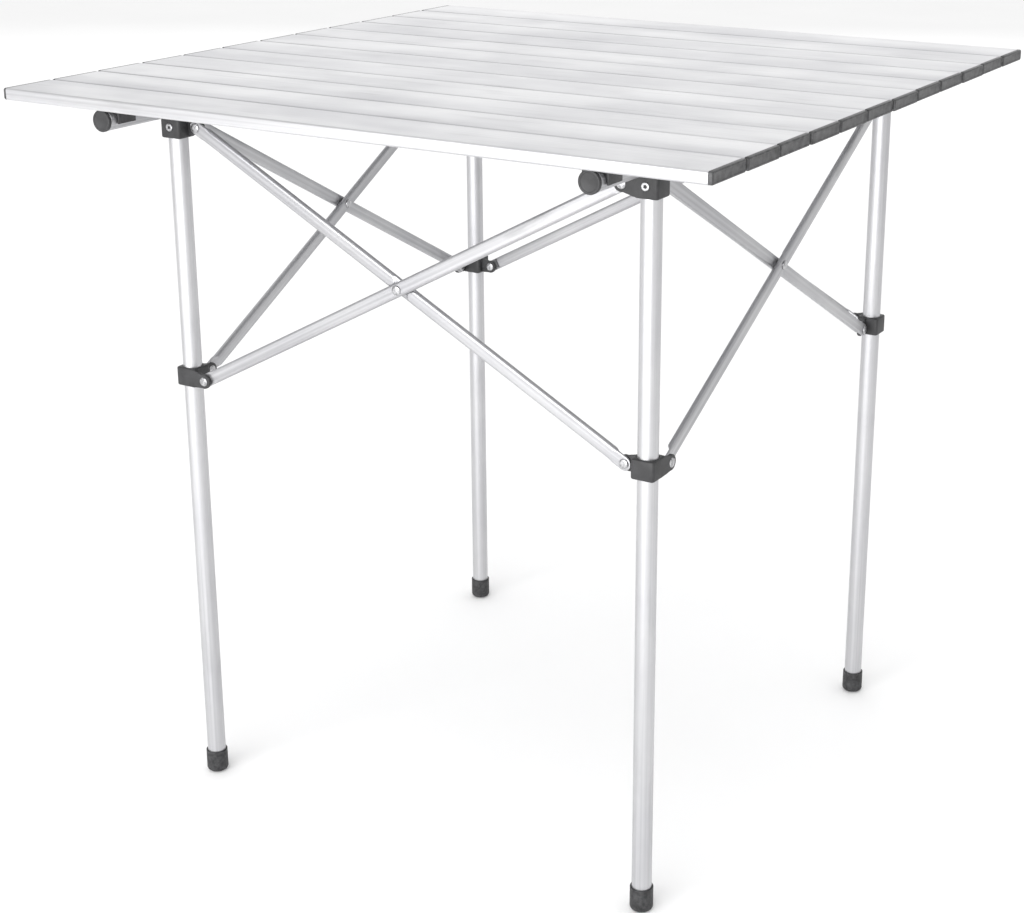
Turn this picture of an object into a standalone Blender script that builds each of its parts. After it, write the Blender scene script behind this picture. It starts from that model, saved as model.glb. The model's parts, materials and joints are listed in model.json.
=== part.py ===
"""Folding picnic table: a roll-up slatted aluminium top on two rails, carried by four legs
that are joined by scissor braces. Metres, +Z up, +X along the slats, front of the table at -Y.
The origin is on the floor under the middle of the top."""

import math

import bmesh
import bpy
from mathutils import Matrix

# Table top
TABLE_HEIGHT = 0.700
SLAT_COUNT = 12
SLAT_LENGTH = 0.700
SLAT_WIDTH = 0.0573
SLAT_THICKNESS = 0.0105
SLAT_GAP = 0.0015
SLAT_EDGE_RADIUS = 0.0022
SLAT_WALL = 0.0010
SLAT_CAP_LENGTH = 0.0040
SLAT_STAGGER = 0.0005
CORD_HOLE_RADIUS = 0.0018
CORD_INSET = 0.045
SLAT_PITCH = SLAT_WIDTH + SLAT_GAP
TABLE_DEPTH = SLAT_COUNT * SLAT_WIDTH + (SLAT_COUNT - 1) * SLAT_GAP
TOP_UNDERSIDE = TABLE_HEIGHT - SLAT_THICKNESS

# Rails that the slats lie on
RAIL_RADIUS = 0.0093
RAIL_WALL = 0.0012
RAIL_TO_TOP = 0.0005
RAIL_HEIGHT = TOP_UNDERSIDE - RAIL_TO_TOP - RAIL_RADIUS
PLUG_RADIUS = 0.0096
PLUG_FLANGE = 0.0035
PLUG_DEPTH = 0.012
PLUG_FACE = 0.3465
RAIL_HALF_LENGTH = PLUG_FACE - PLUG_FLANGE - 0.0003
RAIL_X = {"left": -0.2405, "right": 0.2455}

# Clips under the first and last slat, hugging the rails
CLIP_FRONT = 0.3365
CLIP_LENGTH = 0.021
CLIP_HALF_WIDTH = 0.0118
CLIP_BELOW_RAIL_AXIS = 0.0030
CLIP_TAB = 0.0009

# Legs and feet
LEG_HALF_SPACING = 0.245
LEG_RADIUS = 0.0090
LEG_WALL = 0.0012
LEG_BOTTOM = 0.0033
FOOT_RADIUS = 0.0106
FOOT_HEIGHT = 0.0230
FOOT_FLOOR = 0.0030
FIT_GAP = 0.00025

# Brackets: a socket on each leg top and a slider part of the way down
BLOCK_HALF = 0.0112
BLOCK_CORNER = 0.0030
BRACKET_TOP = 0.6700
BRACKET_HEIGHT = 0.0205
BRACKET_ROOF = 0.0020
SLIDER_HEIGHT = 0.0180
SLIDER_RISE = 0.0009
SLIDER_GAP = 0.0003
EAR_THICKNESS = 0.0030
EAR_TIP_RADIUS = 0.0070
EAR_ROOT = 0.0040
PIN_REACH = 0.0220
TOP_PIN_HEIGHT = BRACKET_TOP - BRACKET_HEIGHT / 2
SLIDER_PIN_HEIGHT = 0.4205

# Scissor braces, measured outwards from the plane of the leg axes
BRACE_WIDTH = 0.0125
BRACE_THICKNESS = 0.0060
EYELET_THICKNESS = 0.0024
EYELET_LENGTH = 0.0085
EYELET_BLEND = 0.0060
OUTER_BRACE_FACE = 0.0077
BRACE_GAP = 0.0003
INNER_BRACE_FACE = OUTER_BRACE_FACE - BRACE_THICKNESS - BRACE_GAP
PROUD_EAR = OUTER_BRACE_FACE + BRACE_GAP
RECESSED_EAR = INNER_BRACE_FACE - EYELET_THICKNESS - BRACE_GAP - EAR_THICKNESS

# Rivets
PIN_RADIUS = 0.0025
PIN_HOLE_RADIUS = 0.0027
PIN_HEAD_RADIUS = 0.0040
PIN_HEAD_HEIGHT = 0.0012
PIN_HEAD_BITE = 0.0001
LEG_RIVET_RADIUS = 0.0022
LEG_RIVET_BORE = 0.0013
LEG_RIVET_HEAD_RADIUS = 0.0037
LEG_RIVET_HEAD_HEIGHT = 0.0008
LEG_RIVET_TAIL_RADIUS = 0.0027
LEG_RIVET_TAIL_LENGTH = 0.0022

CORNERS = ("front_left", "front_right", "back_right", "back_left")
SIDES = ("front", "right", "back", "left")
QUARTER_TURN = math.pi / 2

BRACE_SPAN = 2 * (LEG_HALF_SPACING - PIN_REACH)
BRACE_RISE = TOP_PIN_HEIGHT - SLIDER_PIN_HEIGHT
BRACE_LENGTH = math.hypot(BRACE_SPAN, BRACE_RISE)
BRACE_ANGLE = math.atan2(BRACE_RISE, BRACE_SPAN)


def clear_scene():
    for obj in list(bpy.data.objects):
        bpy.data.objects.remove(obj, do_unlink=True)


def make_material(name, colour, roughness, metallic):
    material = bpy.data.materials.new(name)
    material.use_nodes = True
    shader = material.node_tree.nodes["Principled BSDF"]
    shader.inputs["Base Color"].default_value = (*colour, 1.0)
    shader.inputs["Roughness"].default_value = roughness
    shader.inputs["Metallic"].default_value = metallic
    return material


def add_object(name, bm, material, smooth_below=math.radians(35)):
    bmesh.ops.recalc_face_normals(bm, faces=bm.faces)
    mesh = bpy.data.meshes.new(name)
    bm.to_mesh(mesh)
    bm.free()
    mesh.materials.append(material)
    mesh.shade_smooth()
    mesh.set_sharp_from_angle(angle=smooth_below)
    obj = bpy.data.objects.new(name, mesh)
    bpy.context.scene.collection.objects.link(obj)
    return obj


def combine(base, tool, operation):
    """Applies a Boolean to base with tool, and removes the tool."""
    modifier = base.modifiers.new("combine", "BOOLEAN")
    modifier.operation = operation
    modifier.solver = "EXACT"
    modifier.object = tool
    bpy.context.view_layer.update()
    graph = bpy.context.evaluated_depsgraph_get()
    result = bpy.data.meshes.new_from_object(base.evaluated_get(graph))
    base.modifiers.clear()
    base.data = result
    bpy.data.objects.remove(tool, do_unlink=True)
    result.shade_smooth()
    result.set_sharp_from_angle(angle=math.radians(35))
    return base


def ring_of(points, low, high):
    """A closed prism over a 2-D outline, from z = low to z = high."""
    bm = bmesh.new()
    bottom = [bm.verts.new((x, y, low)) for x, y in points]
    top = [bm.verts.new((x, y, high)) for x, y in points]
    bm.faces.new(bottom)
    bm.faces.new(top)
    for i in range(len(points)):
        j = (i + 1) % len(points)
        bm.faces.new((bottom[i], bottom[j], top[j], top[i]))
    return bm


def lathe(profile, segments):
    """Turns an (r, z) profile about Z. A profile that doesn't reach the axis closes on itself."""
    bm = bmesh.new()
    rings = []
    for radius, height in profile:
        if radius == 0:
            rings.append([bm.verts.new((0, 0, height))] * segments)
            continue
        angles = [2 * math.pi * i / segments for i in range(segments)]
        rings.append(
            [bm.verts.new((radius * math.cos(a), radius * math.sin(a), height)) for a in angles]
        )
    closes = profile[0][0] != 0
    last = len(rings) if closes else len(rings) - 1
    for k in range(last):
        lower, upper = rings[k], rings[(k + 1) % len(rings)]
        for i in range(segments):
            j = (i + 1) % segments
            corners = list(dict.fromkeys((lower[i], lower[j], upper[j], upper[i])))
            bm.faces.new(corners)
    return bm


def arc(centre_x, centre_y, radius, start, end, steps):
    points = []
    for i in range(steps + 1):
        a = math.radians(start + (end - start) * i / steps)
        points.append((centre_x + radius * math.cos(a), centre_y + radius * math.sin(a)))
    return points


def rounded_rectangle(half_x, half_y, radius, steps):
    points = arc(half_x - radius, half_y - radius, radius, 0, 90, steps)
    points += arc(radius - half_x, half_y - radius, radius, 90, 180, steps)
    points += arc(radius - half_x, radius - half_y, radius, 180, 270, steps)
    points += arc(half_x - radius, radius - half_y, radius, 270, 360, steps)
    return points


def turned(bm, matrix):
    bmesh.ops.transform(bm, matrix=matrix, verts=bm.verts)
    return bm


def along_x(bm):
    """Turns a shape built along Z so that it runs along X, with its own X becoming Y."""
    return turned(bm, Matrix(((0, 0, 1, 0), (1, 0, 0, 0), (0, 1, 0, 0), (0, 0, 0, 1))))


def along_y(bm):
    """Turns a shape built along Z so that it runs towards -Y, with its own Y becoming Z."""
    return turned(bm, Matrix.Rotation(math.pi / 2, 4, "X"))


def cylinder(radius, low, high, segments=16):
    step = 360 / segments
    return ring_of(arc(0, 0, radius, step / 2, 360 - step / 2, segments - 1), low, high)


def corner_matrix(corner):
    turn = Matrix.Rotation(corner * QUARTER_TURN, 4, "Z")
    return turn @ Matrix.Translation((-LEG_HALF_SPACING, -LEG_HALF_SPACING, 0))


def place_at_corner(obj, corner, height=0.0, turns=True):
    spot = corner_matrix(corner).translation
    obj.location = (spot.x, spot.y, height)
    if turns:
        obj.rotation_euler = (0, 0, corner * QUARTER_TURN)


# Table top


def clip_spots():
    """The middle of each rail clip, seen from above."""
    middle = CLIP_FRONT - CLIP_LENGTH / 2
    return [(x, y) for x in RAIL_X.values() for y in (-middle, middle)]


def drill_cord_holes(slat, index, material):
    """Holes for the elastic cords, through both edges of a slat but not the table's own edge."""
    back = 0 if index == SLAT_COUNT - 1 else -SLAT_WIDTH
    front = 0 if index == 0 else SLAT_WIDTH
    for side in (-1, 1):
        drill = along_y(cylinder(CORD_HOLE_RADIUS, back, front, 6))
        cutter = add_object("cord_hole", drill, material)
        cutter.location.x = side * (SLAT_LENGTH / 2 - CORD_INSET)
        combine(slat, cutter, "DIFFERENCE")


def slat_body(name, material):
    half_x, half_z = SLAT_WIDTH / 2, SLAT_THICKNESS / 2
    outline = rounded_rectangle(half_x, half_z, SLAT_EDGE_RADIUS, 2)
    slat = add_object(name, along_x(ring_of(outline, -SLAT_LENGTH / 2, SLAT_LENGTH / 2)), material)
    inner = rounded_rectangle(
        half_x - SLAT_WALL, half_z - SLAT_WALL, SLAT_EDGE_RADIUS - SLAT_WALL, 1
    )
    reach = SLAT_LENGTH / 2 - SLAT_CAP_LENGTH
    combine(slat, add_object("hollow", along_x(ring_of(inner, -reach, reach)), material), "DIFFERENCE")
    return slat


def cut_clip_windows(slat, centre_y, material):
    """Opens the underside of an end slat where the two rail clips plug into it."""
    for x, y in clip_spots():
        if y * centre_y < 0:
            continue
        half_x = CLIP_HALF_WIDTH + FIT_GAP
        half_y = CLIP_LENGTH / 2 + FIT_GAP
        outline = [(-half_x, -half_y), (half_x, -half_y), (half_x, half_y), (-half_x, half_y)]
        window = add_object("window", ring_of(outline, -0.004, SLAT_WALL + 0.0005), material)
        window.location = (x, y - centre_y, -SLAT_THICKNESS / 2)
        combine(slat, window, "DIFFERENCE")


def build_slats(material):
    for i in range(SLAT_COUNT):
        slat = slat_body(f"slat_{i + 1:02d}", material)
        drill_cord_holes(slat, i, material)
        centre_y = SLAT_PITCH * i - (TABLE_DEPTH - SLAT_WIDTH) / 2
        if i in (0, SLAT_COUNT - 1):
            cut_clip_windows(slat, centre_y, material)
        stagger = SLAT_STAGGER * math.sin(2.3 * i)
        if i in (0, SLAT_COUNT - 1):
            stagger = 0.0
        slat.location = (stagger, centre_y, TABLE_HEIGHT - SLAT_THICKNESS / 2)


def build_rail_clips(material):
    low = RAIL_HEIGHT - CLIP_BELOW_RAIL_AXIS
    high = TOP_UNDERSIDE + CLIP_TAB
    channel = RAIL_RADIUS + SLIDER_GAP
    below = low - RAIL_HEIGHT
    above = high - RAIL_HEIGHT
    outline = [(-CLIP_HALF_WIDTH, below), (-CLIP_HALF_WIDTH, above)]
    outline += [(CLIP_HALF_WIDTH, above), (CLIP_HALF_WIDTH, below), (channel, below)]
    outline += arc(0, 0, channel, 0, 180, 12)
    outline += [(-channel, below)]
    for x, y in clip_spots():
        end = "front" if y < 0 else "back"
        side = "left" if x < 0 else "right"
        shape = along_y(ring_of(outline, -CLIP_LENGTH / 2, CLIP_LENGTH / 2))
        clip = add_object(f"rail_clip_{side}_{end}", shape, material)
        clip.location = (x, y, RAIL_HEIGHT)


# Rails


def build_rails(material):
    inner = RAIL_RADIUS - RAIL_WALL
    profile = [
        (RAIL_RADIUS, -RAIL_HALF_LENGTH),
        (RAIL_RADIUS, RAIL_HALF_LENGTH),
        (inner, RAIL_HALF_LENGTH),
        (inner, -RAIL_HALF_LENGTH),
    ]
    for side, x in RAIL_X.items():
        rail = add_object(f"rail_{side}", along_y(lathe(profile, 24)), material)
        rail.location = (x, 0, RAIL_HEIGHT)


def build_rail_plugs(material):
    spigot = RAIL_RADIUS - RAIL_WALL - FIT_GAP
    profile = [
        (0, -PLUG_FLANGE - PLUG_DEPTH),
        (spigot, -PLUG_FLANGE - PLUG_DEPTH),
        (spigot, -PLUG_FLANGE),
        (PLUG_RADIUS, -PLUG_FLANGE),
        (PLUG_RADIUS, -0.0010),
        (PLUG_RADIUS - 0.0010, 0),
        (PLUG_RADIUS - 0.0028, 0),
        (PLUG_RADIUS - 0.0028, -0.0005),
        (0, -0.0005),
    ]
    for side, x in RAIL_X.items():
        for end, turn in (("front", 0), ("back", math.pi)):
            plug = add_object(f"rail_plug_{side}_{end}", along_y(lathe(profile, 20)), material)
            plug.location = (x, -PLUG_FACE if end == "front" else PLUG_FACE, RAIL_HEIGHT)
            plug.rotation_euler = (0, 0, turn)


# Legs


def outward_turn(corner):
    """Half a turn at the back, so that a piece made facing the front faces outwards there."""
    return 0 if corner < 2 else math.pi


def leg_rivet_drill(corner, material):
    """The rivet hole through one wall, from the leg's middle out to the front or the back."""
    hole = cylinder(LEG_RIVET_RADIUS + FIT_GAP / 2, 0, 0.02, 12)
    drill = add_object("drill", along_y(hole), material)
    drill.rotation_euler = (0, 0, outward_turn(corner))
    return drill


def build_legs(material):
    inner = LEG_RADIUS - LEG_WALL
    top = BRACKET_TOP - BRACKET_ROOF - SLIDER_GAP
    profile = [(LEG_RADIUS, LEG_BOTTOM), (LEG_RADIUS, top), (inner, top), (inner, LEG_BOTTOM)]
    for corner, name in enumerate(CORNERS):
        leg = add_object(f"leg_{name}", lathe(profile, 24), material)
        drill = leg_rivet_drill(corner, material)
        drill.location.z = TOP_PIN_HEIGHT
        combine(leg, drill, "DIFFERENCE")
        place_at_corner(leg, corner, turns=False)


def build_feet(material):
    socket = LEG_RADIUS + FIT_GAP
    profile = [
        (0, 0),
        (FOOT_RADIUS - 0.0024, 0),
        (FOOT_RADIUS - 0.0007, 0.0010),
        (FOOT_RADIUS, 0.0030),
        (FOOT_RADIUS, FOOT_HEIGHT),
        (socket, FOOT_HEIGHT),
        (socket, FOOT_FLOOR),
        (0, FOOT_FLOOR),
    ]
    for corner, name in enumerate(CORNERS):
        foot = add_object(f"foot_{name}", lathe(profile, 20), material)
        place_at_corner(foot, corner, turns=False)


def build_leg_rivets(material):
    """Tubular rivets, each with its head on the bracket and its tail set inside the leg."""
    shoulder = BLOCK_HALF + FIT_GAP
    tail = LEG_RADIUS - LEG_WALL - 0.0008
    profile = [
        (LEG_RIVET_BORE, shoulder + LEG_RIVET_HEAD_HEIGHT),
        (LEG_RIVET_HEAD_RADIUS - 0.0006, shoulder + LEG_RIVET_HEAD_HEIGHT),
        (LEG_RIVET_HEAD_RADIUS, shoulder),
        (LEG_RIVET_RADIUS, shoulder),
        (LEG_RIVET_RADIUS, tail),
        (LEG_RIVET_TAIL_RADIUS, tail - 0.0003),
        (LEG_RIVET_TAIL_RADIUS - 0.0003, tail - LEG_RIVET_TAIL_LENGTH),
        (LEG_RIVET_BORE, tail - LEG_RIVET_TAIL_LENGTH),
    ]
    for corner, name in enumerate(CORNERS):
        rivet = add_object(f"leg_rivet_{name}", along_y(lathe(profile, 12)), material)
        place_at_corner(rivet, corner, TOP_PIN_HEIGHT, turns=False)
        rivet.rotation_euler = (0, 0, outward_turn(corner))


# Brackets


def ear(height, rise, inner_face, direction):
    """An ear with its round tip about the brace pin, on the +X side or the +Y side of the leg.
    It runs on from inside the block, so that its outer face carries on the block's."""
    half = height / 2 - 0.0015
    outline = [(EAR_ROOT, rise - half), (BLOCK_HALF, rise - half)]
    outline += arc(PIN_REACH, 0, EAR_TIP_RADIUS, -100, 100, 6)
    outline += [(BLOCK_HALF, rise + half), (EAR_ROOT, rise + half)]
    shape = along_y(ring_of(outline, inner_face, inner_face + EAR_THICKNESS))
    if direction == "X":
        return shape
    return turned(shape, Matrix(((0, 1, 0, 0), (1, 0, 0, 0), (0, 0, 1, 0), (0, 0, 0, 1))))


def ear_pin(inner_face, outer_face, direction):
    """The rivet through an ear and the eyelet beside it, headed at both ends."""
    profile = [
        (0, inner_face - PIN_HEAD_HEIGHT),
        (PIN_HEAD_RADIUS, inner_face - PIN_HEAD_HEIGHT),
        (PIN_HEAD_RADIUS, inner_face + PIN_HEAD_BITE),
        (PIN_RADIUS, inner_face + PIN_HEAD_BITE),
        (PIN_RADIUS, outer_face - PIN_HEAD_BITE),
        (PIN_HEAD_RADIUS, outer_face - PIN_HEAD_BITE),
        (PIN_HEAD_RADIUS, outer_face + PIN_HEAD_HEIGHT),
        (0, outer_face + PIN_HEAD_HEIGHT),
    ]
    shape = turned(along_y(lathe(profile, 10)), Matrix.Translation((PIN_REACH, 0, 0)))
    if direction == "X":
        return shape
    return turned(shape, Matrix(((0, 1, 0, 0), (1, 0, 0, 0), (0, 0, 1, 0), (0, 0, 0, 1))))


def add_ears(bracket, height, rise, proud_direction, recessed_direction, material):
    """The proud ear covers the outer brace's eyelet; the recessed one lies behind the inner brace's."""
    proud_inner = PROUD_EAR - 2 * BRACE_GAP - EYELET_THICKNESS
    recessed_outer = INNER_BRACE_FACE + BRACE_GAP
    pieces = [
        ear(height, rise, PROUD_EAR, proud_direction),
        ear_pin(proud_inner, PROUD_EAR + EAR_THICKNESS, proud_direction),
        ear(height, rise, RECESSED_EAR, recessed_direction),
        ear_pin(RECESSED_EAR, recessed_outer, recessed_direction),
    ]
    for shape in pieces:
        combine(bracket, add_object("piece", shape, material), "UNION")


def block(name, height, rise, material):
    outline = rounded_rectangle(BLOCK_HALF, BLOCK_HALF, BLOCK_CORNER, 2)
    return add_object(name, ring_of(outline, rise - height / 2, rise + height / 2), material)


def build_top_brackets(material):
    for corner, name in enumerate(CORNERS):
        bracket = block(f"top_bracket_{name}", BRACKET_HEIGHT, 0, material)
        add_ears(bracket, BRACKET_HEIGHT, 0, "Y", "X", material)
        roof = BRACKET_HEIGHT / 2 - BRACKET_ROOF
        bore = cylinder(LEG_RADIUS + FIT_GAP, -BRACKET_HEIGHT, roof, 24)
        combine(bracket, add_object("bore", bore, material), "DIFFERENCE")
        drill = leg_rivet_drill(corner, material)
        drill.rotation_euler.z -= corner * QUARTER_TURN
        combine(bracket, drill, "DIFFERENCE")
        place_at_corner(bracket, corner, TOP_PIN_HEIGHT)


def build_sliders(material):
    for corner, name in enumerate(CORNERS):
        slider = block(f"slider_{name}", SLIDER_HEIGHT, SLIDER_RISE, material)
        add_ears(slider, SLIDER_HEIGHT, SLIDER_RISE, "X", "Y", material)
        bore = cylinder(LEG_RADIUS + SLIDER_GAP, -SLIDER_HEIGHT, SLIDER_HEIGHT, 24)
        combine(slider, add_object("bore", bore, material), "DIFFERENCE")
        place_at_corner(slider, corner, SLIDER_PIN_HEIGHT)


# Braces


def brace_stations():
    """Cross-sections along half a brace, as (distance from the pin, half width, thickness)."""
    tip = BRACE_WIDTH / 2
    rounded_end = []
    for angle in (15, 45, 70, 90):
        a = math.radians(angle)
        rounded_end.append((-tip * math.cos(a), tip * math.sin(a), EYELET_THICKNESS))
    return rounded_end + [
        (EYELET_LENGTH, tip, EYELET_THICKNESS),
        (EYELET_LENGTH + EYELET_BLEND, tip, BRACE_THICKNESS),
    ]


def brace_section(half_width, thickness):
    """A flat oval in (width, depth behind the outer face)."""
    rounding = min(half_width, thickness / 2) * 0.92
    outline = rounded_rectangle(half_width, thickness / 2, rounding, 2)
    return [(w, d + thickness / 2) for w, d in outline]


def brace_mesh(outer_face):
    """A brace along +X from its first pin at the origin to its second, with flattened ends."""
    stations = brace_stations()
    far = [(BRACE_LENGTH - x, w, t) for x, w, t in reversed(stations)]
    bm = bmesh.new()
    rings = []
    for x, half_width, thickness in stations + far:
        section = brace_section(half_width, thickness)
        rings.append([bm.verts.new((x, d - outer_face, w)) for w, d in section])
    bm.faces.new(rings[0])
    bm.faces.new(rings[-1])
    for lower, upper in zip(rings, rings[1:]):
        for i in range(len(lower)):
            j = (i + 1) % len(lower)
            bm.faces.new((lower[i], lower[j], upper[j], upper[i]))
    bmesh.ops.triangulate(bm, faces=bm.faces)
    return bm


def build_brace(name, side, rising, material):
    outer_face = OUTER_BRACE_FACE if rising else INNER_BRACE_FACE
    brace = add_object(name, brace_mesh(outer_face), material)
    for x in (0, BRACE_LENGTH / 2, BRACE_LENGTH):
        hole = add_object("hole", along_y(cylinder(PIN_HOLE_RADIUS, -0.02, 0.02, 12)), material)
        hole.location.x = x
        combine(brace, hole, "DIFFERENCE")
    pin_height = SLIDER_PIN_HEIGHT if rising else TOP_PIN_HEIGHT
    start = corner_matrix(side) @ Matrix.Translation((PIN_REACH, 0, pin_height))
    brace.location = start.translation
    tilt = -BRACE_ANGLE if rising else BRACE_ANGLE
    brace.rotation_euler = (0, tilt, side * QUARTER_TURN)


def build_braces(material):
    for side, name in enumerate(SIDES):
        build_brace(f"brace_{name}_outer", side, True, material)
        build_brace(f"brace_{name}_inner", side, False, material)


def build_crossing_rivets(material):
    inner = INNER_BRACE_FACE - BRACE_THICKNESS - BRACE_GAP
    outer = OUTER_BRACE_FACE + BRACE_GAP
    profile = [
        (0, inner - PIN_HEAD_HEIGHT),
        (PIN_HEAD_RADIUS - 0.0006, inner - PIN_HEAD_HEIGHT),
        (PIN_HEAD_RADIUS, inner),
        (PIN_RADIUS, inner),
        (PIN_RADIUS, outer),
        (PIN_HEAD_RADIUS, outer),
        (PIN_HEAD_RADIUS - 0.0006, outer + PIN_HEAD_HEIGHT),
        (0, outer + PIN_HEAD_HEIGHT),
    ]
    middle = (TOP_PIN_HEIGHT + SLIDER_PIN_HEIGHT) / 2
    for side, name in enumerate(SIDES):
        rivet = add_object(f"crossing_rivet_{name}", along_y(lathe(profile, 12)), material)
        turn = Matrix.Rotation(side * QUARTER_TURN, 4, "Z")
        rivet.location = (turn @ Matrix.Translation((0, -LEG_HALF_SPACING, middle))).translation
        rivet.rotation_euler = (0, 0, side * QUARTER_TURN)


clear_scene()
anodised = make_material("anodised_aluminium", (0.86, 0.86, 0.87), 0.38, 0.9)
tube = make_material("tube_aluminium", (0.82, 0.82, 0.83), 0.34, 0.9)
black_plastic = make_material("black_plastic", (0.035, 0.035, 0.037), 0.50, 0.0)
foot_rubber = make_material("foot_rubber", (0.03, 0.03, 0.03), 0.65, 0.0)
rivet_steel = make_material("rivet_steel", (0.75, 0.75, 0.76), 0.25, 1.0)
build_slats(anodised)
build_rail_clips(black_plastic)
build_rails(tube)
build_rail_plugs(black_plastic)
build_legs(tube)
build_feet(foot_rubber)
build_leg_rivets(rivet_steel)
build_top_brackets(black_plastic)
build_sliders(black_plastic)
build_braces(tube)
build_crossing_rivets(rivet_steel)
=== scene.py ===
"""Looks of the folding picnic table: anodised slats with moulded end caps, drawn aluminium tubes,
pressed scissor braces, moulded brackets and feet, and steel rivets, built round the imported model."""

import json
import math

import bmesh
import bpy
from mathutils import Matrix, Vector


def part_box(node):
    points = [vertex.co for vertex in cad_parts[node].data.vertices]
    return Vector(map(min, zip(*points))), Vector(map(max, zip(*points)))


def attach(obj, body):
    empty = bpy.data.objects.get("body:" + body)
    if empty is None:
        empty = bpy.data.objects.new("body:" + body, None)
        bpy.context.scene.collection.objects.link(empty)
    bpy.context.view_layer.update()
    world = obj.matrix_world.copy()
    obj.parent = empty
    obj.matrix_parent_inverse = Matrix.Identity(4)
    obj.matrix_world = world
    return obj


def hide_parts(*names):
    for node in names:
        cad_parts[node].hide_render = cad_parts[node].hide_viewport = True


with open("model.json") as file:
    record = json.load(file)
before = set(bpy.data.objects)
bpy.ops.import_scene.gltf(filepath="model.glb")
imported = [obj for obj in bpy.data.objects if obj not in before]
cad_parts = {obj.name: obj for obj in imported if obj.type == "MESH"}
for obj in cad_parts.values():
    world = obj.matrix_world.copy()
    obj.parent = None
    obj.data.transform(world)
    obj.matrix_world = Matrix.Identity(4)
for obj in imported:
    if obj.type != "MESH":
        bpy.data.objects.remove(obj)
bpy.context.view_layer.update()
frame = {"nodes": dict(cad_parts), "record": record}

CORNERS = ("front_left", "front_right", "back_right", "back_left")
SIDES = ("front", "right", "back", "left")
QUARTER_TURN = math.pi / 2


def centre_of(node):
    low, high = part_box(node)
    return (low + high) / 2


def size_of(node):
    low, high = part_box(node)
    return high - low


def joint_height(name):
    joints = frame["record"]["behaviour"]["joints"]
    return next(joint["pos_m"][2] for joint in joints if joint["name"] == name)


# Dimensions read from the frame, and the sections of its tubes and slats
LEG_SPACING = centre_of("leg_front_right").x
LEG_RADIUS = size_of("leg_front_left").x / 2
TOP_PIN = joint_height("frame_fold")
SLIDER_PIN = joint_height("front_left_slider_pivot")
RAIL_AXIS = centre_of("rail_left").z
RAIL_RADIUS = size_of("rail_left").x / 2
TOP_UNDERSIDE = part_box("slat_01")[0].z
BRACE_WIDTH = 0.0125
TUBE_WALL = 0.0012
FIT_CLEARANCE = 0.00025
BORE_CLEARANCE = 0.0003
SLAT_WALL = 0.0010
SLAT_EDGE_RADIUS = 0.0019
PLUG_FLANGE = 0.0035

# Dimensions of the moulded and pressed detail
PIN_REACH = 0.0220
BLOCK_HALF = 0.0112
EAR_ROOT = 0.0020
EAR_THICKNESS = 0.0030
EAR_TIP_RADIUS = 0.0070
BRACE_THICKNESS = 0.0060
EYELET_THICKNESS = 0.0024
EYELET_LENGTH = 0.0085
EYELET_BLEND = 0.0055
OUTER_BRACE_FACE = 0.0077
BRACE_GAP = 0.0003
INNER_BRACE_FACE = OUTER_BRACE_FACE - BRACE_THICKNESS - BRACE_GAP
PROUD_EAR = OUTER_BRACE_FACE + BRACE_GAP
RECESSED_EAR = INNER_BRACE_FACE - EYELET_THICKNESS - BRACE_GAP - EAR_THICKNESS
PIN_HEAD_RADIUS = 0.0044
CAP_LENGTH = 0.0036
CAP_SIDE_INSET = 0.0005
DENT_NOSE = 0.0085
DENT_SHOULDER = 0.0135
DENT_RAMP = 0.0015
DENT_DEPTH = 0.0008
BRACE_SPAN = 2 * (LEG_SPACING - PIN_REACH)
BRACE_RISE = TOP_PIN - SLIDER_PIN
BRACE_LENGTH = math.hypot(BRACE_SPAN, BRACE_RISE)
BRACE_ANGLE = math.atan2(BRACE_RISE, BRACE_SPAN)


# Camera: lens in millimetres, shift in frame widths, angles in degrees, place in metres
CAMERA_LENS = 66.8
CAMERA_SHIFT = (-0.0673, -0.0755)
CAMERA_AZIMUTH = 30.1
CAMERA_ELEVATION = 18.04
CAMERA_ROLL = 0.19
CAMERA_PLACE = (0.9353, -1.5468, 0.9773)


# Mesh helpers


def arc(centre_x, centre_y, radius, start, end, steps):
    points = []
    for i in range(steps + 1):
        a = math.radians(start + (end - start) * i / steps)
        points.append((centre_x + radius * math.cos(a), centre_y + radius * math.sin(a)))
    return points


def rounded_rectangle(half_x, half_y, radius, steps):
    points = arc(half_x - radius, half_y - radius, radius, 0, 90, steps)
    points += arc(radius - half_x, half_y - radius, radius, 90, 180, steps)
    points += arc(radius - half_x, radius - half_y, radius, 180, 270, steps)
    points += arc(half_x - radius, radius - half_y, radius, 270, 360, steps)
    return points


def loft(rings, closed_ends=True):
    """Joins rings of equal length, each a list of 3-D points, into one skin."""
    bm = bmesh.new()
    skins = [[bm.verts.new(p) for p in ring] for ring in rings]
    for lower, upper in zip(skins, skins[1:]):
        for i in range(len(lower)):
            j = (i + 1) % len(lower)
            bm.faces.new((lower[i], lower[j], upper[j], upper[i]))
    if closed_ends:
        bm.faces.new(skins[0])
        bm.faces.new(skins[-1])
    return bm


def prism(outline, low, high):
    return loft([[(x, y, z) for x, y in outline] for z in (low, high)])


def lathe(profile, segments=64):
    """Turns an (r, z) profile about Z. A profile that starts off the axis closes on itself."""
    bm = bmesh.new()
    rings = []
    for radius, height in profile:
        if radius == 0:
            rings.append([bm.verts.new((0, 0, height))] * segments)
            continue
        angles = [2 * math.pi * i / segments for i in range(segments)]
        rings.append(
            [bm.verts.new((radius * math.cos(a), radius * math.sin(a), height)) for a in angles]
        )
    last = len(rings) if profile[0][0] else len(rings) - 1
    for k in range(last):
        lower, upper = rings[k], rings[(k + 1) % len(rings)]
        for i in range(segments):
            j = (i + 1) % segments
            corners = list(dict.fromkeys((lower[i], lower[j], upper[j], upper[i])))
            bm.faces.new(corners)
    return bm


def turned(bm, matrix):
    bmesh.ops.transform(bm, matrix=matrix, verts=bm.verts)
    return bm


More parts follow.
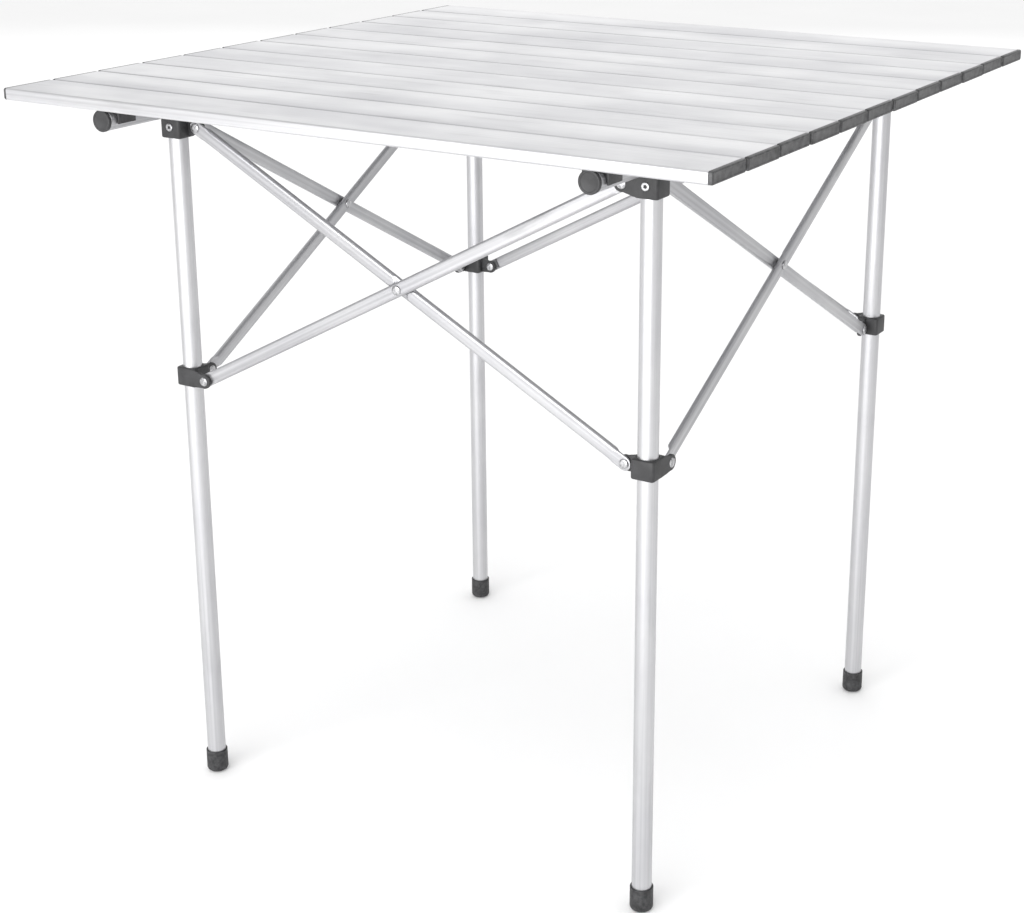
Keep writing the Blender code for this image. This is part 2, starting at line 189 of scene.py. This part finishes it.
def along_x(bm):
    """Turns a shape built along Z so that it runs along X, with its own X becoming Y."""
    return turned(bm, Matrix(((0, 0, 1, 0), (1, 0, 0, 0), (0, 1, 0, 0), (0, 0, 0, 1))))


def along_y(bm):
    """Turns a shape built along Z so that it runs towards -Y, with its own Y becoming Z."""
    return turned(bm, Matrix.Rotation(math.pi / 2, 4, "X"))


def moved(bm, x=0.0, y=0.0, z=0.0):
    return turned(bm, Matrix.Translation((x, y, z)))


def swapped(bm):
    """Swaps X and Y, which turns a shape on the +X side of a leg into its twin on the +Y side."""
    return turned(bm, Matrix(((0, 1, 0, 0), (1, 0, 0, 0), (0, 0, 1, 0), (0, 0, 0, 1))))


def corner_matrix(corner, height=0.0):
    turn = Matrix.Rotation(corner * QUARTER_TURN, 4, "Z")
    return turn @ Matrix.Translation((-LEG_SPACING, -LEG_SPACING, height))


def smooth(mesh, degrees=35):
    mesh.shade_smooth()
    mesh.set_sharp_from_angle(angle=math.radians(degrees))


def make_piece(name, bm, material):
    bmesh.ops.recalc_face_normals(bm, faces=bm.faces)
    mesh = bpy.data.meshes.new(name)
    bm.to_mesh(mesh)
    bm.free()
    mesh.materials.append(material)
    smooth(mesh)
    piece = bpy.data.objects.new(name, mesh)
    bpy.context.scene.collection.objects.link(piece)
    return piece


def evaluated(piece):
    """Replaces a piece's mesh by what its modifiers make of it."""
    bpy.context.view_layer.update()
    graph = bpy.context.evaluated_depsgraph_get()
    mesh = bpy.data.meshes.new_from_object(piece.evaluated_get(graph))
    piece.modifiers.clear()
    piece.data = mesh
    return piece


def combine(piece, tool, operation):
    modifier = piece.modifiers.new("combine", "BOOLEAN")
    modifier.operation = operation
    modifier.solver = "EXACT"
    modifier.object = tool
    evaluated(piece)
    bpy.data.objects.remove(tool, do_unlink=True)


def soften(piece, width, segments=3, angle=35):
    """Rounds the piece's edges as a mould or a press does."""
    modifier = piece.modifiers.new("soften", "BEVEL")
    modifier.width = width
    modifier.segments = segments
    modifier.limit_method = "ANGLE"
    modifier.angle_limit = math.radians(angle)
    evaluated(piece)
    smooth(piece.data, 40)


def finished(piece, body, slot, *replaced):
    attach(piece, body)
    if replaced:
        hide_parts(*replaced)
    return piece


# Materials


def new_material(name):
    material = bpy.data.materials.new(name)
    material.use_nodes = True
    return material, material.node_tree, material.node_tree.nodes["Principled BSDF"]


def stretched_noise(tree, scale, detail=4.0, roughness=0.55):
    """Noise in the piece's own coordinates, with its own scale along each axis."""
    coordinates = tree.nodes.new("ShaderNodeTexCoord")
    mapping = tree.nodes.new("ShaderNodeMapping")
    mapping.inputs["Scale"].default_value = scale
    noise = tree.nodes.new("ShaderNodeTexNoise")
    noise.inputs["Scale"].default_value = 1.0
    noise.inputs["Detail"].default_value = detail
    noise.inputs["Roughness"].default_value = roughness
    tree.links.new(coordinates.outputs["Object"], mapping.inputs["Vector"])
    tree.links.new(mapping.outputs["Vector"], noise.inputs["Vector"])
    return noise.outputs["Fac"]


def ramp(tree, value, stops):
    node = tree.nodes.new("ShaderNodeValToRGB")
    elements = node.color_ramp.elements
    while len(elements) < len(stops):
        elements.new(0.5)
    for element, (position, colour) in zip(elements, stops):
        element.position = position
        element.color = (*colour, 1.0)
    tree.links.new(value, node.inputs["Fac"])
    return node.outputs["Color"]


def remapped(tree, value, low, high):
    node = tree.nodes.new("ShaderNodeMapRange")
    node.inputs["From Min"].default_value = 0.3
    node.inputs["From Max"].default_value = 0.7
    node.inputs["To Min"].default_value = low
    node.inputs["To Max"].default_value = high
    tree.links.new(value, node.inputs["Value"])
    return node.outputs["Result"]


def multiplied(tree, first, second):
    node = tree.nodes.new("ShaderNodeMix")
    node.data_type = "RGBA"
    node.blend_type = "MULTIPLY"
    node.inputs["Factor"].default_value = 1.0
    tree.links.new(first, node.inputs["A"])
    tree.links.new(second, node.inputs["B"])
    return node.outputs["Result"]


def summed(tree, first, second):
    node = tree.nodes.new("ShaderNodeMath")
    node.operation = "ADD"
    tree.links.new(first, node.inputs[0])
    tree.links.new(second, node.inputs[1])
    return node.outputs["Value"]


def bumped(tree, shader, height, strength, distance):
    node = tree.nodes.new("ShaderNodeBump")
    node.inputs["Strength"].default_value = strength
    node.inputs["Distance"].default_value = distance
    tree.links.new(height, node.inputs["Height"])
    tree.links.new(node.outputs["Normal"], shader.inputs["Normal"])


def grained_aluminium(name, grain_scale, batch_scale, dark, light, rubbed, roughness, metallic):
    """Anodised aluminium: extrusion lines one way, a tone that differs a little from one length to
    the next, handling smudges, marks rubbed down to the shade given, and a fine satin surface."""
    material, tree, shader = new_material(name)
    grain = stretched_noise(tree, grain_scale, detail=5.0)
    batch = stretched_noise(tree, batch_scale, detail=1.0)
    smudge = stretched_noise(tree, (9, 14, 14), detail=3.0)
    rub = stretched_noise(tree, tuple(max(v * 0.16, 12) for v in grain_scale), detail=6.0)
    speck = stretched_noise(tree, (900, 900, 900), detail=2.0)
    base = ramp(tree, grain, [(0.30, dark), (0.70, light)])
    tone = ramp(tree, batch, [(0.36, (0.88, 0.88, 0.89)), (0.60, (1.0, 1.0, 1.0))])
    shade = ramp(tree, smudge, [(0.35, (0.93, 0.93, 0.94)), (0.62, (1.0, 1.0, 1.0))])
    marks = ramp(tree, rub, [(0.30, (rubbed, rubbed, rubbed)), (0.42, (1.0, 1.0, 1.0))])
    colour = multiplied(tree, multiplied(tree, base, tone), multiplied(tree, shade, marks))
    tree.links.new(colour, shader.inputs["Base Color"])
    rough = summed(
        tree,
        remapped(tree, grain, roughness - 0.04, roughness + 0.05),
        remapped(tree, smudge, 0.05, -0.03),
    )
    tree.links.new(rough, shader.inputs["Roughness"])
    shader.inputs["Metallic"].default_value = metallic
    bumped(tree, shader, summed(tree, grain, speck), 0.10, 0.00012)
    return material


def moulded_plastic(name, patch_scale, dark, light, roughness):
    """Moulded plastic: fine spark-eroded grain, faint flow patches and a soft sheen."""
    material, tree, shader = new_material(name)
    grain = stretched_noise(tree, (1400, 1400, 1400), detail=3.0)
    patch = stretched_noise(tree, (patch_scale, patch_scale, patch_scale), detail=4.0)
    colour = ramp(tree, patch, [(0.35, dark), (0.68, light)])
    tree.links.new(colour, shader.inputs["Base Color"])
    rough = summed(
        tree,
        remapped(tree, grain, roughness - 0.05, roughness + 0.06),
        remapped(tree, patch, -0.03, 0.04),
    )
    tree.links.new(rough, shader.inputs["Roughness"])
    shader.inputs["Specular IOR Level"].default_value = 0.5
    bumped(tree, shader, grain, 0.35, 0.00012)
    return material


def zinc_steel_with_painted_shade(name):
    """Zinc-plated rivet steel with faint upsetting marks, its colour darkened overall as painted shade that
    stands in for the shade round each head.
    """
    material, tree, shader = new_material(name)
    marks_and_painted_shade = stretched_noise(tree, (420, 420, 420), detail=4.0)
    # Painted shade: both ends of this colour ramp are set darker than plain zinc to stand in for the shade
    # round each rivet head; the spread between them is real upsetting marks.
    colour = ramp(tree, marks_and_painted_shade, [(0.34, (0.26, 0.26, 0.27)), (0.60, (0.56, 0.56, 0.57))])
    tree.links.new(colour, shader.inputs["Base Color"])
    tree.links.new(remapped(tree, marks_and_painted_shade, 0.24, 0.36), shader.inputs["Roughness"])
    shader.inputs["Metallic"].default_value = 1.0
    bumped(tree, shader, marks_and_painted_shade, 0.20, 0.00015)
    return material


def studio_paper(name, shade):
    """A pale paper floor with the faintest mottle."""
    material, tree, shader = new_material(name)
    mottle = stretched_noise(tree, (3, 3, 3), detail=2.0)
    low = tuple(v * 0.985 for v in shade)
    tree.links.new(ramp(tree, mottle, [(0.3, low), (0.7, shade)]), shader.inputs["Base Color"])
    shader.inputs["Roughness"].default_value = 0.9
    return material


# Table top


def slat_names():
    return sorted(name for name in frame["nodes"] if name.startswith("slat_"))


def build_slat(name, aluminium):
    """The hollow extrusion between its two end caps, with soft rounded edges."""
    low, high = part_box(name)
    size, middle = high - low, (low + high) / 2
    outer = rounded_rectangle(size.y / 2, size.z / 2, SLAT_EDGE_RADIUS, 6)
    inner = rounded_rectangle(
        size.y / 2 - SLAT_WALL, size.z / 2 - SLAT_WALL, SLAT_EDGE_RADIUS - SLAT_WALL, 6
    )
    ends = (low.x + CAP_LENGTH - middle.x, high.x - CAP_LENGTH - middle.x)
    rings = [[(y, z, x) for y, z in outer] for x in ends]
    rings += [[(y, z, x) for y, z in inner] for x in reversed(ends)]
    bm = loft(rings + rings[:1], closed_ends=False)
    bmesh.ops.remove_doubles(bm, verts=bm.verts, dist=1e-6)
    slat = make_piece(f"{name}_extrusion", moved(along_x(bm), *middle), aluminium)
    return finished(slat, name.replace("slat_", "slat_unit_"), "anodised_aluminium", name)


def cap_shape(size):
    """An end cap: a flange a little narrower than its slat, with a soft rim and a shallow panel, on
    a plug that fills the hollow."""
    stations = (
        (-0.0080, 0.0013, 0.0008),
        (0.0, 0.0013, 0.0008),
        (0.0, 0.0, SLAT_EDGE_RADIUS),
        (CAP_LENGTH - 0.0012, 0.0, SLAT_EDGE_RADIUS),
        (CAP_LENGTH - 0.0004, 0.0003, 0.0018),
        (CAP_LENGTH, 0.0010, 0.0014),
        (CAP_LENGTH, 0.0016, 0.0010),
        (CAP_LENGTH - 0.0003, 0.0020, 0.0008),
    )
    rings = []
    for reach, inset, radius in stations:
        half_width = size.y / 2 - inset - CAP_SIDE_INSET
        outline = rounded_rectangle(half_width, size.z / 2 - inset, radius, 5)
        rings.append([(y, z, reach) for y, z in outline])
    return along_x(loft(rings))


def build_slat_caps(name, plastic):
    low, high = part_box(name)
    middle = (low + high) / 2
    for end, x, turn in (("right", high.x - CAP_LENGTH, 0.0), ("left", low.x + CAP_LENGTH, math.pi)):
        bm = turned(cap_shape(high - low), Matrix.Rotation(turn, 4, "Z"))
        cap = make_piece(f"{name}_cap_{end}", moved(bm, x, middle.y, middle.z), plastic)
        finished(cap, name.replace("slat_", "slat_unit_"), "black_plastic")


def build_rail_clip(side, end, plastic):
    """The saddle that hangs from an end slat and hugs the rail."""
    name = f"rail_clip_{side}_{end}"
    low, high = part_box(name)
    middle = (low + high) / 2
    half_width = (high.x - low.x) / 2
    channel = RAIL_RADIUS + BRACE_GAP
    below = low.z - RAIL_AXIS
    above = TOP_UNDERSIDE - RAIL_AXIS
    outline = [(-half_width, below), (-half_width, above - 0.0012), (0.0014 - half_width, above)]
    outline += [(half_width - 0.0014, above), (half_width, above - 0.0012)]
    outline += [(half_width, below), (channel, below)]
    outline += arc(0, 0, channel, 0, 180, 24)
    outline += [(-channel, below)]
    half_length = (high.y - low.y) / 2
    clip = make_piece(name + "_moulding", along_y(prism(outline, -half_length, half_length)), plastic)
    soften(clip, 0.0004, 2)
    clip.location = (middle.x, middle.y, RAIL_AXIS)
    body = "slat_unit_01" if end == "front" else "slat_unit_12"
    return finished(clip, body, "black_plastic", name)


# Rails


def tube_profile(radius, wall, low, high):
    edge = 0.0003
    return [
        (radius, low + edge),
        (radius, high - edge),
        (radius - edge, high),
        (radius - wall, high),
        (radius - wall, low),
        (radius - edge, low),
    ]


def build_rail(side, aluminium):
    low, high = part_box(f"rail_{side}")
    middle = (low + high) / 2
    half = (high.y - low.y) / 2
    bm = along_y(lathe(tube_profile(RAIL_RADIUS, TUBE_WALL, -half, half)))
    rail = make_piece(f"rail_{side}_tube", moved(bm, *middle), aluminium)
    return finished(rail, f"rail_unit_{side}", "tube_aluminium", f"rail_{side}")


def build_rail_plug(side, end, plastic):
    """A push-in plug with a rounded flange and a shallow dished face."""
    name = f"rail_plug_{side}_{end}"
    low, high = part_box(name)
    middle = (low + high) / 2
    radius = (high.x - low.x) / 2
    depth = high.y - low.y
    spigot = RAIL_RADIUS - TUBE_WALL - FIT_CLEARANCE
    profile = [(0, -depth), (spigot - 0.0006, -depth), (spigot, -depth + 0.0008)]
    profile += [(spigot, -PLUG_FLANGE), (radius - 0.0003, -PLUG_FLANGE)]
    profile += [(radius, -PLUG_FLANGE + 0.0003)]
    profile += [(radius - 0.0010 + r, z - 0.0010) for r, z in arc(0, 0, 0.0010, 0, 90, 4)]
    profile += [(radius - 0.0019, -0.0001), (radius - 0.0023, -0.0005)]
    profile += [(radius - 0.0040, -0.00075), (0, -0.0009)]
    plug = make_piece(name + "_moulding", along_y(lathe(profile)), plastic)
    plug.location = (middle.x, low.y if end == "front" else high.y, middle.z)
    plug.rotation_euler.z = 0.0 if end == "front" else math.pi
    return finished(plug, f"rail_unit_{side}", "black_plastic", name)


# Legs


def build_leg(corner, aluminium):
    low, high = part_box(f"leg_{corner}")
    middle = (low + high) / 2
    half = (high.z - low.z) / 2
    bm = moved(lathe(tube_profile(LEG_RADIUS, TUBE_WALL, -half, half)), *middle)
    leg = make_piece(f"leg_{corner}_tube", bm, aluminium)
    return finished(leg, f"leg_unit_{corner}", "tube_aluminium", f"leg_{corner}")


def build_foot(corner, plastic):
    """A push-on foot with a domed edge to its sole and a thin rounded lip."""
    low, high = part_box(f"foot_{corner}")
    middle = (low + high) / 2
    radius, height = (high.x - low.x) / 2, high.z - low.z
    socket = LEG_RADIUS + FIT_CLEARANCE
    profile = [(0, 0.0), (radius - 0.0042, 0.0)]
    profile += [
        (radius - 0.0040 + r, 0.0040 + z) for r, z in arc(0, 0, 0.0040, -82, 0, 8)
    ]
    profile += [(radius, height * 0.6), (radius - 0.0001, height - 0.0004)]
    profile += [(radius - 0.0004, height), (socket + 0.0001, height), (socket, height - 0.0003)]
    profile += [(socket, 0.0030), (0, 0.0030)]
    foot = make_piece(f"foot_{corner}_moulding", moved(lathe(profile), middle.x, middle.y), plastic)
    return finished(foot, f"leg_unit_{corner}", "foot_plastic", f"foot_{corner}")


def build_leg_rivet(corner, steel):
    """A tubular rivet with a rolled head and an open bore."""
    name = f"leg_rivet_{corner}"
    middle = centre_of(name)
    reach = BLOCK_HALF + FIT_CLEARANCE
    profile = [(0.0013, 0.0045), (0.0022, 0.0045), (0.0022, reach), (0.0037, reach)]
    profile += [(0.0029 + r, reach + z) for r, z in arc(0, 0, 0.0008, 10, 90, 5)]
    profile += [(0.0017, reach + 0.0007), (0.0013, reach + 0.0003)]
    rivet = make_piece(name + "_steel", along_y(lathe(profile, 48)), steel)
    rivet.location = (math.copysign(LEG_SPACING, middle.x), math.copysign(LEG_SPACING, middle.y), TOP_PIN)
    rivet.rotation_euler.z = 0.0 if middle.y < 0 else math.pi
    return finished(rivet, f"leg_unit_{corner}", "rivet_steel", name)


# Brackets and sliders


def block_shape(bottom, top):
    """The block round a leg: rounded upright corners, and soft edges above and below."""
    edge = ((0.0, 0.0012), (0.0003, 0.0006), (0.0008, 0.0002), (0.0014, 0.0))
    stations = [(bottom + rise, inset) for rise, inset in edge]
    stations += [(top - drop, inset) for drop, inset in reversed(edge)]
    rings = []
    for height, inset in stations:
        outline = rounded_rectangle(BLOCK_HALF - inset, BLOCK_HALF - inset, 0.0030 - inset, 6)
        rings.append([(x, y, height) for x, y in outline])
    return loft(rings)


def ear_shape(bottom, top, inner_face, outer_face):
    """An ear that carries on the block's face and narrows to a round tip about the brace pin."""
    outline = [(EAR_ROOT, bottom), (BLOCK_HALF, bottom)]
    outline += arc(PIN_REACH, 0, EAR_TIP_RADIUS, -104, 104, 22)
    outline += [(BLOCK_HALF, top), (EAR_ROOT, top)]
    soft = 0.0005
    rings = []
    stations = (
        (inner_face, soft),
        (inner_face + soft, 0.0),
        (outer_face - soft, 0.0),
        (outer_face, soft),
    )
    for depth, inset in stations:
        ring = []
        for x, z in outline:
            pull = inset if x > BLOCK_HALF else 0.0
            length = math.hypot(x - PIN_REACH, z)
            ring.append((x - pull * (x - PIN_REACH) / length, z - pull * z / length, depth))
        rings.append(ring)
    return along_y(loft(rings))


def bracket_piece(name, corner, pin_height, proud_side, through, plastic):
    low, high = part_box(name)
    bottom, top = low.z - pin_height, high.z - pin_height
    bracket = make_piece(name + "_moulding", block_shape(bottom, top), plastic)
    proud = (PROUD_EAR, BLOCK_HALF + 0.00004)
    recessed = (RECESSED_EAR, RECESSED_EAR + EAR_THICKNESS)
    for faces, side in ((proud, proud_side), (recessed, "XY".replace(proud_side, ""))):
        shape = ear_shape(bottom + 0.0010, top - 0.0010, *faces)
        if side == "Y":
            swapped(shape)
        combine(bracket, make_piece("ear", shape, plastic), "UNION")
    roof = top + 0.01 if through else top - 0.0020
    circle = arc(0, 0, LEG_RADIUS + BORE_CLEARANCE, 0, 352.5, 47)
    combine(bracket, make_piece("bore", prism(circle, bottom - 0.01, roof), plastic), "DIFFERENCE")
    smooth(bracket.data, 30)
    bracket.matrix_world = corner_matrix(corner, pin_height)
    return bracket


def pin_shape(inner_face, outer_face):
    """A brace rivet: a domed factory head outside and a flatter set head inside."""
    radius, dome = PIN_HEAD_RADIUS, 0.0012
    profile = [(0, inner_face - 0.0009), (radius * 0.6, inner_face - 0.0009)]
    profile += [(radius - 0.0002, inner_face - 0.0005), (radius, inner_face), (0.0025, inner_face)]
    profile += [(0.0025, outer_face), (radius, outer_face), (radius, outer_face + 0.0002)]
    profile += [(radius * 0.94, outer_face + dome * 0.55), (radius * 0.78, outer_face + dome * 0.85)]
    profile += [(radius * 0.5, outer_face + dome * 0.98), (0, outer_face + dome)]
    return along_y(lathe(profile, 48))


def build_ear_pins(name, corner, pin_height, proud_side, body, steel):
    """The two rivets that hold brace ends to a bracket or slider."""
    proud = (PROUD_EAR - 2 * BRACE_GAP - EYELET_THICKNESS, PROUD_EAR + EAR_THICKNESS)
    recessed = (RECESSED_EAR, INNER_BRACE_FACE + BRACE_GAP)
    for faces, side in ((proud, proud_side), (recessed, "XY".replace(proud_side, ""))):
        shape = moved(pin_shape(*faces), x=PIN_REACH)
        if side == "Y":
            swapped(shape)
        pin = make_piece(f"{name}_brace_rivet_{side.lower()}", shape, steel)
        pin.matrix_world = corner_matrix(corner, pin_height)
        finished(pin, body, "rivet_steel")


def build_corner(corner, name, plastic, steel):
    bracket = bracket_piece(f"top_bracket_{name}", corner, TOP_PIN, "Y", False, plastic)
    finished(bracket, f"leg_unit_{name}", "black_plastic", f"top_bracket_{name}")
    slider = bracket_piece(f"slider_{name}", corner, SLIDER_PIN, "X", True, plastic)
    finished(slider, f"slider_unit_{name}", "black_plastic", f"slider_{name}")
    build_ear_pins(f"top_bracket_{name}", corner, TOP_PIN, "Y", f"leg_unit_{name}", steel)
    build_ear_pins(f"slider_{name}", corner, SLIDER_PIN, "X", f"slider_unit_{name}", steel)


# Braces


def eased(t):
    t = min(max(t, 0.0), 1.0)
    return t * t * (3 - 2 * t)


def half_brace_stations():
    """Distances along half a brace that its sections are cut at, close together where it changes."""
    tip = BRACE_WIDTH / 2
    stations = [-tip * math.cos(math.radians(a)) for a in (4, 14, 26, 40, 55, 72)]
    stations += [0.0, EYELET_LENGTH]
    stations += [EYELET_LENGTH + EYELET_BLEND * i / 6 for i in range(1, 7)]
    dent_start = BRACE_LENGTH / 2 - DENT_SHOULDER - DENT_RAMP
    dent_end = BRACE_LENGTH / 2 - DENT_NOSE + DENT_RAMP
    stations += [dent_start / 2]
    stations += [dent_start + (dent_end - dent_start) * i / 16 for i in range(17)]
    return stations


def dent_at(x, w):
    """How deep the face is pressed in at (x, w): flat about the crossing, with a rounded nose of
    full-depth tube reaching in from each side."""
    across = abs(w) / (BRACE_WIDTH / 2)
    edge = DENT_NOSE + (DENT_SHOULDER - DENT_NOSE) * across**2
    from_edge = abs(x - BRACE_LENGTH / 2) - edge
    kept_rim = 1 - eased((across - 0.80) / 0.20)
    return DENT_DEPTH * kept_rim * (1 - eased((from_edge + DENT_RAMP) / DENT_RAMP))


def brace_ring(x, dents_outer_face, outer_face):
    """One flat-oval section of a brace: flattened at its ends and pressed in at the crossing."""
    tip = BRACE_WIDTH / 2
    from_end = min(x, BRACE_LENGTH - x)
    half_width = math.sqrt(max(tip * tip - from_end * from_end, 0)) if from_end < 0 else tip
    press = eased((from_end - EYELET_LENGTH) / EYELET_BLEND)
    thickness = EYELET_THICKNESS + (BRACE_THICKNESS - EYELET_THICKNESS) * press
    rounding = min(half_width, thickness / 2) * 0.80
    ring = []
    for w, d in brace_outline(half_width, thickness / 2, rounding):
        depth = d + thickness / 2
        if dents_outer_face and d < 0:
            depth += dent_at(x, w)
        elif not dents_outer_face and d > 0:
            depth -= dent_at(x, w)
        ring.append((x, depth - outer_face, w))
    return ring


def brace_outline(half_width, half_depth, rounding):
    """A flat oval with points along its flat faces too, so that the faces can be pressed in."""
    flat = [(half_width - rounding) * (1 - i / 4) for i in range(1, 8)]
    outline = arc(half_width - rounding, half_depth - rounding, rounding, 0, 90, 5)
    outline += [(w, half_depth) for w in flat]
    outline += arc(rounding - half_width, half_depth - rounding, rounding, 90, 180, 5)
    outline += arc(rounding - half_width, rounding - half_depth, rounding, 180, 270, 5)
    outline += [(-w, -half_depth) for w in flat]
    outline += arc(half_width - rounding, rounding - half_depth, rounding, 270, 360, 5)
    return outline


def build_brace(side, name, rising, aluminium):
    outer_face = OUTER_BRACE_FACE if rising else INNER_BRACE_FACE
    half = half_brace_stations()
    stations = half + [BRACE_LENGTH - x for x in reversed(half)]
    bm = loft([brace_ring(x, not rising, outer_face) for x in stations])
    brace = make_piece(name + "_tube", bm, aluminium)
    for x in (0.0, BRACE_LENGTH / 2, BRACE_LENGTH):
        hole = along_y(prism(arc(0, 0, 0.0027, 5, 350, 23), -0.02, 0.02))
        combine(brace, make_piece("hole", moved(hole, x=x), aluminium), "DIFFERENCE")
    smooth(brace.data, 50)
    pin_height = SLIDER_PIN if rising else TOP_PIN
    tilt = Matrix.Rotation(-BRACE_ANGLE if rising else BRACE_ANGLE, 4, "Y")
    brace.matrix_world = corner_matrix(side, pin_height) @ Matrix.Translation((PIN_REACH, 0, 0)) @ tilt
    return brace


def build_side(side, name, aluminium, steel):
    for kind, rising in (("outer", True), ("inner", False)):
        node = f"brace_{name}_{kind}"
        brace = build_brace(side, node, rising, aluminium)
        finished(brace, f"brace_unit_{name}_{kind}", "tube_aluminium", node)
    inner_back = INNER_BRACE_FACE - BRACE_THICKNESS - BRACE_GAP
    rivet = make_piece(
        f"crossing_rivet_{name}_steel", pin_shape(inner_back, OUTER_BRACE_FACE + BRACE_GAP), steel
    )
    turn = Matrix.Rotation(side * QUARTER_TURN, 4, "Z")
    rivet.matrix_world = turn @ Matrix.Translation((0, -LEG_SPACING, (TOP_PIN + SLIDER_PIN) / 2))
    finished(rivet, f"brace_unit_{name}_inner", "rivet_steel", f"crossing_rivet_{name}")


# Studio


def build_floor(paper):
    bm = bmesh.new()
    bmesh.ops.create_grid(bm, x_segments=8, y_segments=8, size=12.0)
    floor = make_piece("studio_floor", bm, paper)
    floor.location.z = -0.0005


def add_area_light(name, location, target, size, power):
    data = bpy.data.lights.new(name, "AREA")
    data.shape = "RECTANGLE"
    data.size, data.size_y = size
    data.energy = power
    light = bpy.data.objects.new(name, data)
    bpy.context.scene.collection.objects.link(light)
    light.location = location
    light.visible_camera = False
    direction = Vector(target) - Vector(location)
    light.rotation_euler = direction.to_track_quat("-Z", "Y").to_euler()


def build_lights():
    middle = (0, 0, 0.4)
    add_area_light("softbox_front", (0.2, -3.5, 1.2), middle, (3.8, 2.4), 135)
    add_area_light("softbox_back", (-2.4, 4.4, 2.0), middle, (4.6, 2.4), 24)
    sun = bpy.data.lights.new("overhead_scoop", "SUN")
    sun.angle = math.radians(70)
    sun.energy = 0.45
    overhead = bpy.data.objects.new("overhead_scoop", sun)
    bpy.context.scene.collection.objects.link(overhead)
    world = bpy.data.worlds.new("studio")
    world.use_nodes = True
    background = world.node_tree.nodes["Background"]
    background.inputs["Color"].default_value = (1.0, 1.0, 1.0, 1.0)
    background.inputs["Strength"].default_value = 0.80
    bpy.context.scene.world = world
    bpy.context.scene.view_settings.view_transform = "Standard"


def build_camera():
    data = bpy.data.cameras.new("camera")
    data.sensor_width = 36.0
    data.lens = CAMERA_LENS
    data.shift_x, data.shift_y = CAMERA_SHIFT
    data.clip_end = 60.0
    camera = bpy.data.objects.new("camera", data)
    bpy.context.scene.collection.objects.link(camera)
    turn = Matrix.Rotation(math.radians(CAMERA_AZIMUTH), 4, "Z")
    tilt = Matrix.Rotation(math.radians(90 - CAMERA_ELEVATION), 4, "X")
    roll = Matrix.Rotation(math.radians(CAMERA_ROLL), 4, "Z")
    camera.matrix_world = Matrix.Translation(CAMERA_PLACE) @ turn @ tilt @ roll
    bpy.context.scene.camera = camera


slat_metal = grained_aluminium(
    "slat_aluminium", (2.5, 520, 520), (1.2, 19, 1), (0.53, 0.53, 0.54), (0.65, 0.65, 0.66), 0.90, 0.36, 0.85
)
upright_metal = grained_aluminium(
    "leg_aluminium", (450, 450, 3), (3, 3, 1), (0.52, 0.52, 0.53), (0.62, 0.62, 0.63), 0.92, 0.38, 0.9
)
rail_metal = grained_aluminium(
    "rail_aluminium", (450, 3, 450), (3, 1, 3), (0.34, 0.34, 0.35), (0.52, 0.52, 0.53), 0.80, 0.36, 0.9
)
brace_metal = grained_aluminium(
    "brace_aluminium", (3, 420, 420), (4, 3, 3), (0.40, 0.40, 0.41), (0.56, 0.56, 0.57), 0.82, 0.37, 0.9
)
cap_plastic = moulded_plastic("cap_plastic", 160, (0.012, 0.012, 0.013), (0.078, 0.078, 0.081), 0.42)
bracket_plastic = moulded_plastic(
    "bracket_plastic", 70, (0.018, 0.018, 0.019), (0.036, 0.036, 0.038), 0.50
)
foot_plastic = moulded_plastic("foot_plastic", 300, (0.008, 0.008, 0.009), (0.046, 0.046, 0.048), 0.55)
# The rivet steel carries painted shade: its colour is darkened to stand in for the shade round each rivet
# head.
steel = zinc_steel_with_painted_shade("rivet_steel")
paper = studio_paper("studio_paper", (0.98, 0.98, 0.98))

build_camera()
build_lights()
build_floor(paper)
for slat_name in slat_names():
    build_slat(slat_name, slat_metal)
    build_slat_caps(slat_name, cap_plastic)
for rail_side in ("left", "right"):
    build_rail(rail_side, rail_metal)
    for rail_end in ("front", "back"):
        build_rail_plug(rail_side, rail_end, bracket_plastic)
        build_rail_clip(rail_side, rail_end, bracket_plastic)
for corner_index, corner_name in enumerate(CORNERS):
    build_leg(corner_name, upright_metal)
    build_foot(corner_name, foot_plastic)
    build_leg_rivet(corner_name, steel)
    build_corner(corner_index, corner_name, bracket_plastic, steel)
for side_index, side_name in enumerate(SIDES):
    build_side(side_index, side_name, brace_metal, steel)
